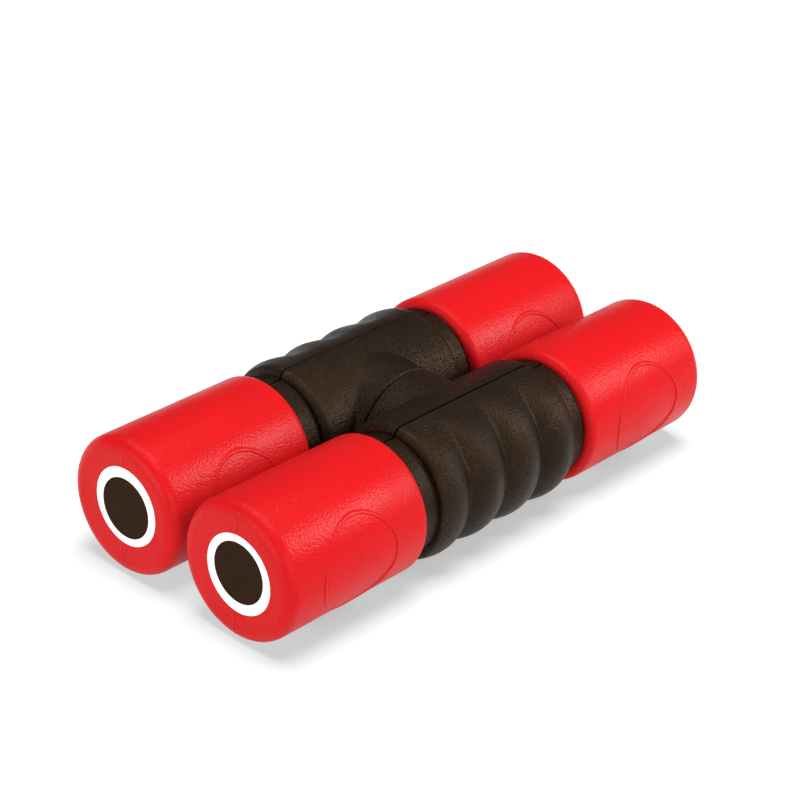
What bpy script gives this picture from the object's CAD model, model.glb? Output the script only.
# Two twist-lock hand shakers, joined side by side through their grips
# Moulded shells, finishes, printed labels, studio light and camera
import math

import bmesh
import bpy
from mathutils import Matrix, Vector


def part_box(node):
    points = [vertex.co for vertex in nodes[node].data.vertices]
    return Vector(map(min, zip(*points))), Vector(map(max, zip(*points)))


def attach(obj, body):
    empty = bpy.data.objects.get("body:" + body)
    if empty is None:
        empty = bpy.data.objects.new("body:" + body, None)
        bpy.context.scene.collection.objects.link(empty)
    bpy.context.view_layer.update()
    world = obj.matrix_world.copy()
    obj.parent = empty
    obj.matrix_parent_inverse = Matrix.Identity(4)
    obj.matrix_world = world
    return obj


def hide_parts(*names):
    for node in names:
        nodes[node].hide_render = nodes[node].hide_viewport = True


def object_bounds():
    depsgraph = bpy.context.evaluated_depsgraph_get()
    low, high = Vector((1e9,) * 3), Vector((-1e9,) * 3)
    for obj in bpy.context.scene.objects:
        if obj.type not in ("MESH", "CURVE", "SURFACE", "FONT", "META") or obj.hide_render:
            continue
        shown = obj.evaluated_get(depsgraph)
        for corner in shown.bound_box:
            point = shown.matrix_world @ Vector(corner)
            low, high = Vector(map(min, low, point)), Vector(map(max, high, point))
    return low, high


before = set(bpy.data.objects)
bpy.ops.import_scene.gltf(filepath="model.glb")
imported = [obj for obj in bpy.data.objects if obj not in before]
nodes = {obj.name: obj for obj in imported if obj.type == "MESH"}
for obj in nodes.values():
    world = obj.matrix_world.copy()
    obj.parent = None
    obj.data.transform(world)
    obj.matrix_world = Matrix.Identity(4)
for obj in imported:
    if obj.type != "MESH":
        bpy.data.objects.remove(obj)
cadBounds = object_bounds()
mm = 0.001
shakerNames = ("front", "rear")
endNames = ("left", "right")
places = [f"{shaker}_{end}" for shaker in shakerNames for end in endNames]
print("frame loaded with", len(nodes), "nodes")


# Where things are, read from the frame

def boxMiddle(node):
    low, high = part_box(node)
    return (low + high) / 2


def axisPoint(shaker):
    plug = boxMiddle(f"{shaker}_left_plug")
    return Vector((0, plug.y, plug.z))


def placing(shaker, end="right"):
    # from the drawing place, axis along +X and fingers towards -Y, to the real place
    place = Matrix.Translation(axisPoint(shaker))
    if shaker == "rear":
        place = place @ Matrix.Rotation(math.pi, 4, "X")
    if end == "left":
        place = place @ Matrix.Rotation(math.pi, 4, "Z")
    return place


# Node helpers

def newNode(tree, kind, **values):
    node = tree.nodes.new(kind)
    for name, value in values.items():
        setattr(node, name, value)
    return node


def calculate(tree, operation, first, second=None, clamp=False):
    node = newNode(tree, "ShaderNodeMath", operation=operation, use_clamp=clamp)
    for socket, value in zip(node.inputs, (first, second)):
        if value is None:
            continue
        if isinstance(value, (int, float)):
            socket.default_value = value
        else:
            tree.links.new(value, socket)
    return node.outputs[0]


def remap(tree, value, fromLow, fromHigh, toLow=0.0, toHigh=1.0):
    node = newNode(tree, "ShaderNodeMapRange", clamp=True, interpolation_type="SMOOTHSTEP")
    tree.links.new(value, node.inputs["Value"])
    limits = {"From Min": fromLow, "From Max": fromHigh, "To Min": toLow, "To Max": toHigh}
    for name, number in limits.items():
        node.inputs[name].default_value = number
    return node.outputs["Result"]


def mixColour(tree, factor, first, second):
    node = newNode(tree, "ShaderNodeMix", data_type="RGBA")
    for socket, value in ((node.inputs[0], factor), (node.inputs[6], first), (node.inputs[7], second)):
        if isinstance(value, bpy.types.NodeSocket):
            tree.links.new(value, socket)
        else:
            socket.default_value = value
    return node.outputs[2]


def shaded(colour, share):
    return (*(share * part for part in colour[:3]), 1)


def newGroup(name, inputs, outputs):
    group = bpy.data.node_groups.new(name, "ShaderNodeTree")
    for label, kind, value in inputs:
        socket = group.interface.new_socket(label, in_out="INPUT", socket_type=kind)
        if value is not None:
            socket.default_value = value
    for label, kind in outputs:
        group.interface.new_socket(label, in_out="OUTPUT", socket_type=kind)
    entry = group.nodes.new("NodeGroupInput").outputs
    leaving = group.nodes.new("NodeGroupOutput").inputs
    return group, entry, leaving


# Texture groups that more than one finish uses

leatherShape = {
    "driftScale": 0.45,  # scales are shares of the pebbles' own
    "driftDetail": 2.0,
    "roundness": 0.35,
    "fineScale": 1.7,
    "fineDetail": 3.0,
    "fineShare": 0.45,
}


def makeLeatherGrain():
    # pebbled texture of the canisters' mould
    size = leatherShape
    group, entry, leaving = newGroup(
        "leatherGrain",
        [
            ("Vector", "NodeSocketVector", None),
            ("Pebbles", "NodeSocketFloat", 1100.0),
            ("Drift", "NodeSocketFloat", 0.35),
        ],
        [("Height", "NodeSocketFloat")],
    )
    links = group.links
    drift = newNode(group, "ShaderNodeTexNoise")
    links.new(entry["Vector"], drift.inputs["Vector"])
    links.new(calculate(group, "MULTIPLY", entry["Pebbles"], size["driftScale"]), drift.inputs["Scale"])
    drift.inputs["Detail"].default_value = size["driftDetail"]
    scaled = newNode(group, "ShaderNodeVectorMath", operation="SCALE")
    links.new(entry["Vector"], scaled.inputs[0])
    links.new(entry["Pebbles"], scaled.inputs["Scale"])
    moved = newNode(group, "ShaderNodeVectorMath", operation="MULTIPLY_ADD")
    links.new(drift.outputs["Color"], moved.inputs[0])
    links.new(entry["Drift"], moved.inputs[1])
    links.new(scaled.outputs[0], moved.inputs[2])
    pebbles = newNode(group, "ShaderNodeTexVoronoi", feature="SMOOTH_F1")
    links.new(moved.outputs[0], pebbles.inputs["Vector"])
    pebbles.inputs["Scale"].default_value = 1.0
    pebbles.inputs["Smoothness"].default_value = size["roundness"]
    fine = newNode(group, "ShaderNodeTexNoise")
    links.new(entry["Vector"], fine.inputs["Vector"])
    links.new(calculate(group, "MULTIPLY", entry["Pebbles"], size["fineScale"]), fine.inputs["Scale"])
    fine.inputs["Detail"].default_value = size["fineDetail"]
    domes = calculate(group, "SUBTRACT", 1.0, pebbles.outputs["Distance"])
    creases = calculate(group, "MULTIPLY", fine.outputs["Fac"], size["fineShare"])
    links.new(calculate(group, "ADD", domes, creases), leaving["Height"])
    return group


sandShape = {
    "detail": 4.0,
    "harshness": 0.65,
    "pitScale": 0.6,
    "pitWidth": 0.45,
    "pitShare": 0.5,
    "grainLow": 0.42,
    "grainHigh": 0.66,
}


def makeSparkTexture():
    # sandy, spark-eroded mould texture of the grips and the lock
    size = sandShape
    group, entry, leaving = newGroup(
        "sparkTexture",
        [("Vector", "NodeSocketVector", None), ("Grains", "NodeSocketFloat", 2200.0)],
        [("Height", "NodeSocketFloat"), ("Grain", "NodeSocketFloat")],
    )
    links = group.links
    sand = newNode(group, "ShaderNodeTexNoise")
    links.new(entry["Vector"], sand.inputs["Vector"])
    links.new(entry["Grains"], sand.inputs["Scale"])
    sand.inputs["Detail"].default_value = size["detail"]
    sand.inputs["Roughness"].default_value = size["harshness"]
    pits = newNode(group, "ShaderNodeTexVoronoi")
    links.new(entry["Vector"], pits.inputs["Vector"])
    links.new(calculate(group, "MULTIPLY", entry["Grains"], size["pitScale"]), pits.inputs["Scale"])
    pitted = remap(group, pits.outputs["Distance"], 0.0, size["pitWidth"])
    pitted = calculate(group, "MULTIPLY", pitted, size["pitShare"])
    links.new(calculate(group, "ADD", sand.outputs["Fac"], pitted), leaving["Height"])
    links.new(remap(group, sand.outputs["Fac"], size["grainLow"], size["grainHigh"]), leaving["Grain"])
    return group


handlingShape = {
    "smudgeDetail": 5.0,
    "smudgeHarshness": 0.6,
    "smudgeLow": 0.35,
    "smudgeHigh": 0.68,
    "speckScale": 14.0,
    "speckDetail": 2.0,
    "speckLow": 0.6,
    "speckHigh": 0.75,
}


def makeHandling():
    # slow changes of polish that hands leave, and sparse small specks
    size = handlingShape
    group, entry, leaving = newGroup(
        "handling",
        [("Vector", "NodeSocketVector", None), ("Smudges", "NodeSocketFloat", 60.0)],
        [("Smudge", "NodeSocketFloat"), ("Speckle", "NodeSocketFloat")],
    )
    links = group.links
    slow = newNode(group, "ShaderNodeTexNoise")
    links.new(entry["Vector"], slow.inputs["Vector"])
    links.new(entry["Smudges"], slow.inputs["Scale"])
    slow.inputs["Detail"].default_value = size["smudgeDetail"]
    slow.inputs["Roughness"].default_value = size["smudgeHarshness"]
    links.new(remap(group, slow.outputs["Fac"], size["smudgeLow"], size["smudgeHigh"]), leaving["Smudge"])
    specks = newNode(group, "ShaderNodeTexNoise")
    links.new(entry["Vector"], specks.inputs["Vector"])
    links.new(calculate(group, "MULTIPLY", entry["Smudges"], size["speckScale"]), specks.inputs["Scale"])
    specks.inputs["Detail"].default_value = size["speckDetail"]
    links.new(remap(group, specks.outputs["Fac"], size["speckLow"], size["speckHigh"]), leaving["Speckle"])
    return group


leatherGrain = makeLeatherGrain()
sparkTexture = makeSparkTexture()
handling = makeHandling()
print("texture groups made")


# Finishes

class Finish:
    def __init__(self, name, offset=(0, 0, 0), **shading):
        self.material = bpy.data.materials.new(name)
        self.material.use_nodes = True
        self.tree = self.material.node_tree
        self.shader = self.tree.nodes["Principled BSDF"]
        for socket, value in shading.items():
            self.shader.inputs[socket.replace("_", " ")].default_value = value
        coordinates = newNode(self.tree, "ShaderNodeTexCoord")
        mapping = newNode(self.tree, "ShaderNodeMapping")
        mapping.inputs["Location"].default_value = offset
        self.tree.links.new(coordinates.outputs["Object"], mapping.inputs["Vector"])
        self.vector = mapping.outputs["Vector"]

    def group(self, group, **values):
        node = newNode(self.tree, "ShaderNodeGroup", node_tree=group)
        self.tree.links.new(self.vector, node.inputs["Vector"])
        for name, value in values.items():
            node.inputs[name].default_value = value
        return node.outputs

    def link(self, value, socket):
        self.tree.links.new(value, self.shader.inputs[socket])

    def bump(self, height, strength, depth):
        node = newNode(self.tree, "ShaderNodeBump")
        node.inputs["Strength"].default_value = strength
        node.inputs["Distance"].default_value = depth * mm
        self.tree.links.new(height, node.inputs["Height"])
        self.link(node.outputs["Normal"], "Normal")


def acrossSurface(finish):
    # the place on a piece, as separate X, Y and Z
    parts = newNode(finish.tree, "ShaderNodeSeparateXYZ")
    finish.tree.links.new(finish.vector, parts.inputs[0])
    return parts.outputs


canisterFinish = {
    "colour": (0.525, 0.0058, 0.0075, 1),
    "deepColour": (0.500, 0.0050, 0.0064, 1),
    "roughLow": 0.32,
    "roughHigh": 0.41,
    "smudges": 45.0,
    "pebbles": 1300.0,
    "grainStrength": 0.85,
    "grainDepth": 0.10,
    "specular": 0.09,
}


def canisterPlastic():
    size = canisterFinish
    finish = Finish("canisterPlastic", Specular_IOR_Level=size["specular"])
    hands = finish.group(handling, Smudges=size["smudges"])
    grain = finish.group(leatherGrain, Pebbles=size["pebbles"])["Height"]
    finish.link(mixColour(finish.tree, hands["Smudge"], size["colour"], size["deepColour"]), "Base Color")
    rough = remap(finish.tree, hands["Smudge"], 0.0, 1.0, size["roughLow"], size["roughHigh"])
    finish.link(rough, "Roughness")
    finish.bump(grain, size["grainStrength"], size["grainDepth"])
    return finish.material


gripFinish = {
    "colour": (0.0054, 0.0022, 0.0006, 1),
    "rubbedColour": (0.0220, 0.0120, 0.0058, 1),
    "roughLow": 0.31,
    "roughHigh": 0.41,
    "smudges": 70.0,
    "grains": 1350.0,
    "grainStrength": 1.0,
    "grainDepth": 0.26,
    "specular": 0.20,
    "sheenTint": (1.0, 0.66, 0.42, 1),
    "seamDirt": (0.0012, 0.0008, 0.0005, 1),
    "dirtOffset": 0.14,
    "dirtHalfWidth": 0.34,
    "dirtBlur": 0.04,
}


def gripPlastic():
    size = gripFinish
    finish = Finish("gripPlastic", Specular_IOR_Level=size["specular"], Specular_Tint=size["sheenTint"])
    tree = finish.tree
    hands = finish.group(handling, Smudges=size["smudges"])
    sand = finish.group(sparkTexture, Grains=size["grains"])
    rubbed = calculate(tree, "MULTIPLY", sand["Grain"], hands["Smudge"], clamp=True)
    plain = mixColour(tree, rubbed, size["colour"], size["rubbedColour"])
    # dirt settles in the seam between the halves, mostly on the finger half's side
    axisAway = calculate(tree, "ABSOLUTE", acrossSurface(finish)["Y"])
    fromSeam = calculate(tree, "SUBTRACT", axisAway, abs(axisPoint("front").y) + size["dirtOffset"] * mm)
    edge = size["dirtHalfWidth"] * mm
    blur = size["dirtBlur"] * mm
    clean = remap(tree, calculate(tree, "ABSOLUTE", fromSeam), edge - blur, edge + blur)
    finish.link(mixColour(tree, clean, size["seamDirt"], plain), "Base Color")
    worn = remap(tree, hands["Smudge"], 0.0, 1.0, size["roughHigh"], size["roughLow"])
    finish.link(calculate(tree, "MAXIMUM", worn, calculate(tree, "SUBTRACT", 1.0, clean)), "Roughness")
    finish.bump(sand["Height"], size["grainStrength"], size["grainDepth"])
    return finish.material


darkFinish = {
    "plug": {"colour": (0.018, 0.018, 0.019), "rough": 0.45, "grains": 1600.0},
    "lock": {"colour": (0.026, 0.025, 0.024), "rough": 0.38, "grains": 1400.0},
    "specular": 0.4,
    "smudges": 90.0,
    "speckLift": 1.35,
    "smoother": 0.06,
    "rougher": 0.08,
    "grainStrength": 0.3,
    "grainDepth": 0.05,
}


def darkPlastic(kind):
    # the plugs and the lock, plainer mouldings inside the shakers
    size = darkFinish
    colour, rough, grains = size[kind].values()
    finish = Finish(f"{kind}Plastic", Specular_IOR_Level=size["specular"])
    hands = finish.group(handling, Smudges=size["smudges"])
    sand = finish.group(sparkTexture, Grains=grains)
    specked = mixColour(finish.tree, hands["Speckle"], (*colour, 1), shaded(colour, size["speckLift"]))
    finish.link(specked, "Base Color")
    worn = remap(finish.tree, hands["Smudge"], 0.0, 1.0, rough - size["smoother"], rough + size["rougher"])
    finish.link(worn, "Roughness")
    finish.bump(sand["Height"], size["grainStrength"], size["grainDepth"])
    return finish.material


steelFinish = {
    "shot": {"colour": (0.62, 0.61, 0.59), "rough": 0.28, "stretch": (1, 1, 1)},
    "screw": {"colour": (0.50, 0.50, 0.52), "rough": 0.33, "stretch": (1, 0.15, 1)},
    "marks": 900.0,
    "markDetail": 3.0,
    "markLow": 0.3,
    "markHigh": 0.7,
    "smudges": 120.0,
    "smudgeShade": 0.72,
    "smoother": 0.07,
    "rougher": 0.1,
    "markStrength": 0.25,
    "markDepth": 0.02,
}


def brightSteel(kind):
    # turned or tumbled steel, with fine marks stretched across the piece
    size = steelFinish
    colour, rough, stretch = size[kind].values()
    finish = Finish(f"{kind}Steel", Metallic=1.0)
    tree = finish.tree
    stretched = newNode(tree, "ShaderNodeMapping")
    stretched.inputs["Scale"].default_value = stretch
    tree.links.new(finish.vector, stretched.inputs["Vector"])
    marks = newNode(tree, "ShaderNodeTexNoise")
    tree.links.new(stretched.outputs["Vector"], marks.inputs["Vector"])
    marks.inputs["Scale"].default_value = size["marks"]
    marks.inputs["Detail"].default_value = size["markDetail"]
    hands = finish.group(handling, Smudges=size["smudges"])
    smudged = mixColour(tree, hands["Smudge"], (*colour, 1), shaded(colour, size["smudgeShade"]))
    finish.link(smudged, "Base Color")
    finish.link(remap(tree, marks.outputs["Fac"], size["markLow"], size["markHigh"],
                      rough - size["smoother"], rough + size["rougher"]), "Roughness")
    finish.bump(marks.outputs["Fac"], size["markStrength"], size["markDepth"])
    return finish.material


labelPrint = {
    "discRadius": 9.7,
    "discRise": 0.5,
    "edgeBlur": 0.06,
    "white": (0.90, 0.89, 0.87, 1),
    "dark": (0.024, 0.0100, 0.0042, 1),
    "rough": 0.40,
    "specular": 0.02,
    "smudges": 150.0,
    "inkShade": 0.85,
    "filmShade": 0.96,
    "grains": 1500.0,
    "grainStrength": 0.08,
    "grainDepth": 0.02,
}


def labelFinish(place):
    # a plain dark disc printed on white film, a little above the label's middle
    size = labelPrint
    centre = boxMiddle(f"{place}_label")
    centre.z += size["discRise"] * mm * (1 if place.startswith("front") else -1)
    finish = Finish(f"labelPrint_{place}", offset=-centre, Roughness=size["rough"],
                    Specular_IOR_Level=size["specular"])
    tree = finish.tree
    parts = acrossSurface(finish)
    across = calculate(tree, "MULTIPLY", parts["Y"], parts["Y"])
    up = calculate(tree, "MULTIPLY", parts["Z"], parts["Z"])
    radius = calculate(tree, "SQRT", calculate(tree, "ADD", across, up))
    edge = size["discRadius"] * mm
    blur = size["edgeBlur"] * mm
    printed = remap(tree, radius, edge - blur, edge + blur, 1.0, 0.0)
    hands = finish.group(handling, Smudges=size["smudges"])
    ink = mixColour(tree, hands["Smudge"], size["dark"], shaded(size["dark"], size["inkShade"]))
    film = mixColour(tree, hands["Speckle"], size["white"], shaded(size["white"], size["filmShade"]))
    finish.link(mixColour(tree, printed, film, ink), "Base Color")
    grain = finish.group(sparkTexture, Grains=size["grains"])["Height"]
    finish.bump(grain, size["grainStrength"], size["grainDepth"])
    return finish.material


finishes = {
    "canister": canisterPlastic(),
    "grip": gripPlastic(),
    "plug": darkPlastic("plug"),
    "lock": darkPlastic("lock"),
    "shot": brightSteel("shot"),
    "screws": brightSteel("screw"),
}
print("finishes made")


# Modelling helpers

closeBy = 1e-7  # metres: nearer than this is the same place
nearly = 0.01  # mm: how far a place may be off a drawn face and still count as on it


def drawProfile(corners):
    # an open run of corners, each (along, radius, rounding)
    bm = bmesh.new()
    verts = [bm.verts.new((along * mm, 0, radius * mm)) for along, radius, rounding in corners]
    for start, end in zip(verts, verts[1:]):
        bm.edges.new((start, end))
    return bm, verts


def roundCorners(bm, verts, corners, segments):
    for vert, (along, radius, rounding) in zip(verts, corners):
        if rounding:
            bmesh.ops.bevel(bm, geom=[vert], offset=rounding * mm, offset_type="OFFSET",
                            segments=segments, profile=0.5, affect="VERTICES", material=-1)


def spun(bm, steps, angle=2 * math.pi, axis=(1, 0, 0)):
    bmesh.ops.spin(bm, geom=bm.verts[:] + bm.edges[:], cent=(0, 0, 0), axis=axis, dvec=(0, 0, 0),
                   angle=angle, steps=steps, use_merge=angle == 2 * math.pi, use_normal_flip=False,
                   use_duplicate=False)
    bmesh.ops.remove_doubles(bm, verts=bm.verts, dist=closeBy)


def openEdges(bm):
    return [edge for edge in bm.edges if edge.is_boundary]


def cutAcross(bm, place):
    # new edges where the upright plane y = place crosses the mesh
    bmesh.ops.bisect_plane(bm, geom=bm.verts[:] + bm.edges[:] + bm.faces[:], dist=closeBy / 10,
                           plane_co=(0, place, 0), plane_no=(0, 1, 0))


def extruded(bm, edges):
    made = bmesh.ops.extrude_edge_only(bm, edges=edges)["geom"]
    return [part for part in made if isinstance(part, bmesh.types.BMVert)]


def addMesh(bm, other):
    carried = bpy.data.meshes.new("carried")
    other.to_mesh(carried)
    other.free()
    bm.from_mesh(carried)
    bpy.data.meshes.remove(carried)


def finished(bm, name, body, material, stoodFor, crease=38.0):
    for face in bm.faces:
        face.smooth = True
    for edge in bm.edges:
        edge.smooth = edge.is_manifold and edge.calc_face_angle() < math.radians(crease)
    mesh = bpy.data.meshes.new(name)
    bm.to_mesh(mesh)
    bm.free()
    mesh.materials.append(material)
    piece = bpy.data.objects.new(name, mesh)
    bpy.context.scene.collection.objects.link(piece)
    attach(piece, body)
    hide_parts(stoodFor)
    return piece


# Canisters

canisterSize = {
    "innerEnd": 37.5,
    "wall": 1.8,
    "outerRound": 4.1,
    "innerRound": 2.7,
    "neckRadius": 16.8,
    "beadHeight": 1.6,
    "beadLength": 3.4,
    "neckRound": 0.3,
    "beadRound": 0.4,
    "boreRound": 0.6,
    "chamberRound": 1.2,
    "roundSegments": 8,
    "steps": 128,
    "labelGap": 0.1,
    "flatStart": 0.5,
    "partingWidth": 0.45,
    "partingHeight": 0.07,
    "partingReach": 6.0,
    "partingFromLabel": 0.4,
    "endFaceDepth": 2.0,
}
emblemSize = {
    "radius": 15.4,
    "line": 1.1,
    "height": 0.35,
    "topInset": 0.3,
    "topRound": 0.2,
    "flare": 0.12,
    "flareDepth": 0.04,
    "sunk": 0.5,
    "middle": 66.25,
    "roundSegments": 4,
    "steps": 144,
}


def canisterShell(place, labelCentre, labelRadius, labelDepth):
    size = canisterSize
    low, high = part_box(f"{place}_canister")
    outer = max(abs(low.x), abs(high.x)) / mm
    neckEnd = min(abs(low.x), abs(high.x)) / mm
    radius = (high.z - low.z) / 2 / mm
    inside = radius - size["wall"]
    neck = size["neckRadius"]
    bore = neck - size["wall"]
    bead = neckEnd + size["beadLength"]
    capEdge = radius - size["outerRound"] - size["flatStart"]
    corners = [
        (outer, capEdge, 0),
        (outer, radius, size["outerRound"]),
        (size["innerEnd"], radius, size["innerRound"]),
        (size["innerEnd"], neck, size["neckRound"]),
        (bead, neck, size["neckRound"]),
        (bead, neck + size["beadHeight"], size["beadRound"]),
        (neckEnd, neck + size["beadHeight"], size["beadRound"]),
        (neckEnd, bore, size["neckRound"]),
        (size["innerEnd"] + size["wall"], bore, size["boreRound"]),
        (size["innerEnd"] + size["wall"], inside, size["chamberRound"]),
        (outer - size["wall"], inside, size["outerRound"] - size["wall"]),
        (outer - size["wall"], 0, 0),
    ]
    bm, verts = drawProfile(corners)
    roundCorners(bm, verts, corners, size["roundSegments"])
    spun(bm, size["steps"])
    # the outer end's face runs from the rounded edge to the label's recess
    lip = extruded(bm, openEdges(bm))
    shrink = (labelRadius / mm + size["labelGap"]) / capEdge
    bmesh.ops.scale(bm, vec=(1, shrink, shrink), verts=lip)
    bmesh.ops.translate(bm, vec=(0, labelCentre.y, labelCentre.z), verts=lip)
    recess = extruded(bm, openEdges(bm))
    bmesh.ops.translate(bm, vec=(-labelDepth, 0, 0), verts=recess)
    bmesh.ops.edgeloop_fill(bm, edges=openEdges(bm))
    bmesh.ops.recalc_face_normals(bm, faces=bm.faces)
    return bm, outer * mm, radius * mm


def partingRidge(bm, outer, radius, labelCentre, labelRadius):
    # the faint line where the two mould halves met, upright on the outer end and over its edge
    size = canisterSize
    for side in (-0.5, 0, 0.5):
        cutAcross(bm, side * size["partingWidth"] * mm)
    bm.normal_update()
    clearOf = labelRadius + size["partingFromLabel"] * mm
    for vert in bm.verts:
        fromEnd = outer - vert.co.x
        onEdge = vert.co.yz.length > radius - size["outerRound"] * mm
        outside = onEdge or fromEnd < size["wall"] * mm / 2
        if abs(vert.co.y) > closeBy or not outside or fromEnd > size["partingReach"] * mm:
            continue
        if (vert.co.yz - labelCentre.yz).length > clearOf or fromEnd > size["endFaceDepth"] * mm:
            vert.co += vert.normal * size["partingHeight"] * mm


def emblemRing(radius, turn):
    # low moulded ring round the bare panel, with feet that flare into the wall
    size = emblemSize
    outside = size["radius"]
    inside = outside - size["line"]
    shape = [
        (inside - size["flare"], -size["flareDepth"], 0),
        (inside + size["topInset"], size["height"], size["topRound"]),
        (outside - size["topInset"], size["height"], size["topRound"]),
        (outside + size["flare"], -size["flareDepth"], 0),
        (outside + size["flare"], -size["sunk"], 0),
        (inside - size["flare"], -size["sunk"], 0),
    ]
    bm, verts = drawProfile(shape)
    bm.edges.new((verts[-1], verts[0]))
    roundCorners(bm, verts, shape, size["roundSegments"])
    spun(bm, size["steps"], axis=(0, 0, 1))
    # laid on the canister's curved side
    for vert in bm.verts:
        across = vert.co.y
        vert.co = Vector((
            size["middle"] * mm + vert.co.x,
            -(math.sqrt(radius * radius - across * across) + vert.co.z),
            across,
        ))
    bmesh.ops.rotate(bm, verts=bm.verts, cent=(0, 0, 0), matrix=Matrix.Rotation(turn, 3, "X"))
    bmesh.ops.recalc_face_normals(bm, faces=bm.faces)
    return bm


def makeCanister(shaker, end):
    place = f"{shaker}_{end}"
    low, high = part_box(f"{place}_label")
    labelRadius = (high.z - low.z) / 2
    labelDepth = high.x - low.x
    move = placing(shaker, end)
    labelCentre = move.inverted() @ ((low + high) / 2)
    labelCentre.x += labelDepth / 2
    bm, outer, radius = canisterShell(place, labelCentre, labelRadius, labelDepth)
    partingRidge(bm, outer, radius, labelCentre, labelRadius)
    for turn in (0, math.pi):
        addMesh(bm, emblemRing(radius, turn))
    bmesh.ops.transform(bm, matrix=move, verts=bm.verts)
    shell = finished(bm, f"{place}_canister_shell", f"{shaker}_shaker", finishes["canister"],
                     f"{place}_canister")
    shell.visible_diffuse = False  # keeps a red cast off the floor and the grips


for shaker in shakerNames:
    for end in endNames:
        makeCanister(shaker, end)
print("canisters made")


# Finger halves of the grips

gripSize = {
    "shoulder": 30.7,
    "shoulderRound": 2.6,
    "collarBore": 17.0,
    "collarWall": 2.2,
    "collarRound": 0.35,
    "boreRound": 0.2,
    "grooveInner": 26.0,
    "grooveOuter": 29.8,
    "grooveRadius": 18.6,
    "rib": 1.5,
    "cavity": 17.4,
    "skinFromGroove": 0.3,
    "roundSegments": 8,
    "ridgeSteps": 112,
    "steps": 96,
    "seamSteps": [(0.0, 1.4), (0.46, 1.4), (0.48, 0.03), (0.54, 0.0)],  # how wide, how deep
}
lobeSize = {
    "count": 4,
    "pitch": 16.5,
    "arcHeight": 3.1,
    "valleyDepth": 3.1,
    "fadeAngle": 20.0,
    "valleySoft": 0.3,
    "fadeSoft": 0.3,
    "crestRise": 0.45,
    "riseEnd": 80.0,
    "riseSpan": 32.0,
    "edgeSoft": 0.15,
}


def softLower(first, second, soft):
    return (first + second - math.sqrt((first - second) ** 2 + soft * soft)) / 2


def softUpper(first, second, soft):
    return (first + second + math.sqrt((first - second) ** 2 + soft * soft)) / 2


def lobeShare(along):
    # 1 on the crest of a lobe and 0 in the valley beside it
    size = lobeSize
    half = size["pitch"] / 2
    arc = (half * half + size["arcHeight"] ** 2) / (2 * size["arcHeight"])
    share = -1.0
    for lobe in range(size["count"]):
        offset = along - (lobe - (size["count"] - 1) / 2) * size["pitch"]
        if abs(offset) < arc:
            rise = 1 - (arc - math.sqrt(arc * arc - offset * offset)) / size["arcHeight"]
            share = softUpper(share, rise, size["valleySoft"])
    bottom = size["valleySoft"] / 2
    return max(0.0, (share - bottom) / (1 - bottom))


def lobeRadii(cosine, body):
    # radius of the valleys and of the crests, by how far a place turns from the fingers
    size = lobeSize
    setBack = size["valleyDepth"] / (1 - math.sin(math.radians(size["fadeAngle"])))
    ring = body - size["valleyDepth"] + setBack
    valley = -setBack * cosine + math.sqrt(ring ** 2 - setBack ** 2 * max(0.0, 1 - cosine ** 2))
    away = math.degrees(math.acos(max(-1.0, min(1.0, cosine))))
    fade = max(0.0, min(1.0, (size["riseEnd"] - away) / size["riseSpan"]))
    crest = body + size["crestRise"] * fade * fade * (3 - 2 * fade)
    return min(softLower(body, valley, size["fadeSoft"]) if valley < body else body, body), crest


def roundSeam(bm, outerSkin):
    # a deep, narrow groove beside the split, with an eased lip
    size = gripSize
    steps = [(width * mm, depth * mm) for width, depth in size["seamSteps"]]
    for width, depth in steps:
        cutAcross(bm, -width)
    bm.normal_update()
    for vert in bm.verts:
        if vert.co.yz.length < outerSkin or vert.co.y < -steps[-1][0] - closeBy * 10:
            continue
        depth = next(depth for width, depth in steps if vert.co.y > -width - closeBy * 10)
        inward = -Vector((vert.normal.x, 0, vert.normal.z)).normalized()
        vert.co += inward * depth


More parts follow.
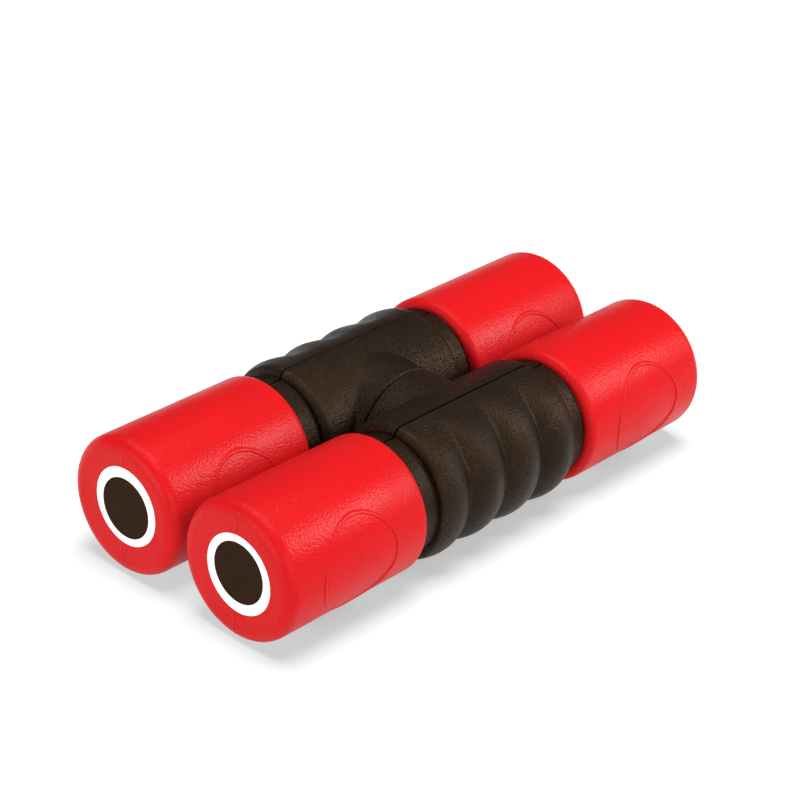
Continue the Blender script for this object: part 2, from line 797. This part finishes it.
def makeFingerGrip(shaker):
    size = gripSize
    low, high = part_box(f"{shaker}_finger_grip")
    reach = high.x / mm
    body = (high.z - low.z) / 2 / mm
    collar = size["collarBore"] + size["collarWall"]
    ribInner = size["grooveInner"] - size["rib"]
    outerSkin = size["grooveRadius"] + size["skinFromGroove"]
    half = [
        (0, body, 0),
        (size["shoulder"], body, size["shoulderRound"]),
        (size["shoulder"], collar, 0),
        (reach, collar, size["collarRound"]),
        (reach, size["collarBore"], size["boreRound"]),
        (size["grooveOuter"], size["collarBore"], 0),
        (size["grooveOuter"], size["grooveRadius"], 0),
        (size["grooveInner"], size["grooveRadius"], 0),
        (size["grooveInner"], size["collarBore"], 0),
        (ribInner, size["collarBore"], 0),
        (ribInner, size["cavity"], 0),
    ]
    mirrored = [(-along, radius, rounding) for along, radius, rounding in reversed(half[1:])]
    corners = half[1:] + mirrored
    bm, verts = drawProfile(corners)
    bm.edges.new((verts[-1], verts[0]))
    roundCorners(bm, verts, corners, size["roundSegments"])
    ridge = max(bm.edges, key=lambda edge: (edge.verts[0].co.z + edge.verts[1].co.z, edge.calc_length()))
    bmesh.ops.subdivide_edges(bm, edges=[ridge], cuts=size["ridgeSteps"])
    spun(bm, size["steps"], angle=math.pi)
    bmesh.ops.edgeloop_fill(bm, edges=openEdges(bm))
    bmesh.ops.recalc_face_normals(bm, faces=bm.faces)
    roundSeam(bm, outerSkin * mm)
    # the lobes, drawn out of the round grip
    for vert in bm.verts:
        fromAxis = vert.co.yz.length / mm
        along = vert.co.x / mm
        onCollar = abs(along) > size["shoulder"] - nearly and fromAxis < collar + nearly * 5
        if fromAxis < outerSkin or onCollar:
            continue
        valley, crest = lobeRadii(-vert.co.y / mm / fromAxis, body)
        lobed = valley + (crest - valley) * lobeShare(along)
        risen = fromAxis + (crest - body) * (fromAxis - collar) / (body - collar)
        if fromAxis < body - nearly:
            lobed = softLower(risen, lobed, lobeSize["edgeSoft"])
        vert.co.yz = vert.co.yz * (lobed / fromAxis)
    bmesh.ops.remove_doubles(bm, verts=bm.verts, dist=closeBy)
    bmesh.ops.recalc_face_normals(bm, faces=bm.faces)
    bmesh.ops.transform(bm, matrix=placing(shaker), verts=bm.verts)
    finished(bm, f"{shaker}_finger_grip_shell", f"{shaker}_shaker", finishes["grip"],
             f"{shaker}_finger_grip")


# Coupling halves, with the neck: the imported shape, merged so that it shades as one moulding

def makeCouplingGrip(shaker):
    bm = bmesh.new()
    bm.from_mesh(nodes[f"{shaker}_coupling_grip"].data)
    bmesh.ops.remove_doubles(bm, verts=bm.verts, dist=closeBy * 10)
    piece = finished(bm, f"{shaker}_coupling_grip_shell", f"{shaker}_shaker", finishes["grip"],
                     f"{shaker}_coupling_grip", crease=32.0)
    packedNormals = piece.data.attributes.get("custom_normal")
    if packedNormals:
        piece.data.attributes.remove(packedNormals)


for shaker in shakerNames:
    makeFingerGrip(shaker)
    makeCouplingGrip(shaker)
print("grips made")


# Nodes that stay as they were packed

def dress(node, material):
    data = nodes[node].data
    data.materials.clear()
    data.materials.append(material)


for place in places:
    dress(f"{place}_label", labelFinish(place))
    dress(f"{place}_plug", finishes["plug"])
    dress(f"{place}_shot", finishes["shot"])
for node in ("front_lock_spigot", "rear_lock_socket"):
    dress(node, finishes["lock"])
for shaker in shakerNames:
    dress(f"{shaker}_screws", finishes["screws"])
    dress(f"{shaker}_finger_grip", finishes["grip"])
    dress(f"{shaker}_coupling_grip", finishes["grip"])
for place in places:
    dress(f"{place}_canister", finishes["canister"])
print("packed nodes dressed")


# Studio: white floor, soft boxes, camera

studio = {
    "floorSize": 8.0,
    "floorColour": (0.85, 0.86, 0.86, 1),
    "floorGlow": 0.48,
    "floorDrop": 0.1,
    "offFloorLights": ("keyBox", "topAccent", "frontBox", "leftBox"),
    "roomLight": 0.16,
    "lightsAim": 20.0,
    "target": (2.17, 3.5, 30.13),
    "azimuth": -49.194,
    "elevation": 28.97,
    "roll": 3.533,
    "distance": 757.84,
    "lens": 110.0,
}
softBoxes = {
    # name: direction from the object, distance, width, height, power
    "keyBox": ((0.60, -0.58, 0.50), 1.3, 0.40, 0.32, 12.0),
    "topAccent": ((-0.12, 0.50, 0.86), 1.3, 0.45, 0.45, 3.2),
    "overheadBox": ((0.03, -0.01, 1.00), 1.3, 0.85, 0.85, 13.5),
    "frontBox": ((-0.30, -0.90, 0.30), 1.8, 1.6, 0.8, 14.0),
    "leftBox": ((-0.97, 0.10, 0.22), 1.8, 1.6, 0.8, 21.0),
}


def makeFloor():
    bm = bmesh.new()
    bmesh.ops.create_grid(bm, x_segments=1, y_segments=1, size=studio["floorSize"] / 2)
    mesh = bpy.data.meshes.new("floor")
    bm.to_mesh(mesh)
    bm.free()
    floor = bpy.data.objects.new("floor", mesh)
    bpy.context.scene.collection.objects.link(floor)
    finish = Finish("floorPaper", Roughness=0.9, Specular_IOR_Level=0.0, Base_Color=studio["floorColour"],
                    Emission_Color=(1, 1, 1, 1), Emission_Strength=studio["floorGlow"])
    mesh.materials.append(finish.material)
    floor.location.z = cadBounds[0].z - studio["floorDrop"] * mm
    # some lights pass the floor by, so that its shadows stay close to the shakers
    offFloor = bpy.data.collections.new("offFloor")
    offFloor.objects.link(floor)
    offFloor.collection_objects[0].light_linking.link_state = "EXCLUDE"
    return offFloor


def makeWorld():
    world = bpy.data.worlds.new("studioRoom")
    bpy.context.scene.world = world
    world.use_nodes = True
    tree = world.node_tree
    background = tree.nodes["Background"]
    background.inputs["Color"].default_value = (1, 1, 1, 1)
    rays = newNode(tree, "ShaderNodeLightPath")
    seen = newNode(tree, "ShaderNodeMapRange")
    tree.links.new(rays.outputs["Is Camera Ray"], seen.inputs["Value"])
    seen.inputs["To Min"].default_value = studio["roomLight"]
    seen.inputs["To Max"].default_value = 1.0
    tree.links.new(seen.outputs["Result"], background.inputs["Strength"])


def makeLight(name, direction, distance, width, height, power, receivers):
    light = bpy.data.lights.new(name, "AREA")
    light.shape = "RECTANGLE"
    light.size = width
    light.size_y = height
    light.energy = power
    box = bpy.data.objects.new(name, light)
    towards = Vector(direction).normalized()
    box.location = towards * distance + Vector((0, 0, studio["lightsAim"] * mm))
    box.rotation_mode = "QUATERNION"
    box.rotation_quaternion = (-towards).to_track_quat("-Z", "Y")
    if receivers:
        box.light_linking.receiver_collection = receivers
    bpy.context.scene.collection.objects.link(box)


def makeCamera():
    size = studio
    azimuth, elevation, roll = (math.radians(size[name]) for name in ("azimuth", "elevation", "roll"))
    back = Vector((
        math.sin(azimuth) * math.cos(elevation),
        -math.cos(azimuth) * math.cos(elevation),
        math.sin(elevation),
    ))
    across = (-back).cross(Vector((0, 0, 1))).normalized()
    up = across.cross(-back)
    turnedAcross = across * math.cos(roll) + up * math.sin(roll)
    turnedUp = up * math.cos(roll) - across * math.sin(roll)
    camera = bpy.data.cameras.new("camera")
    camera.lens = size["lens"]
    camera.sensor_width = 36.0
    camera.clip_start = 0.01
    holder = bpy.data.objects.new("camera", camera)
    spot = Vector(size["target"]) * mm + back * size["distance"] * mm
    axes = Matrix((turnedAcross, turnedUp, back)).transposed().to_4x4()
    holder.matrix_world = Matrix.Translation(spot) @ axes
    bpy.context.scene.collection.objects.link(holder)
    bpy.context.scene.camera = holder


offFloor = makeFloor()
makeWorld()
for name, facts in softBoxes.items():
    makeLight(name, *facts, offFloor if name in studio["offFloorLights"] else None)
makeCamera()
bpy.context.scene.view_settings.view_transform = "Standard"
print("studio made")

bpy.context.view_layer.update()
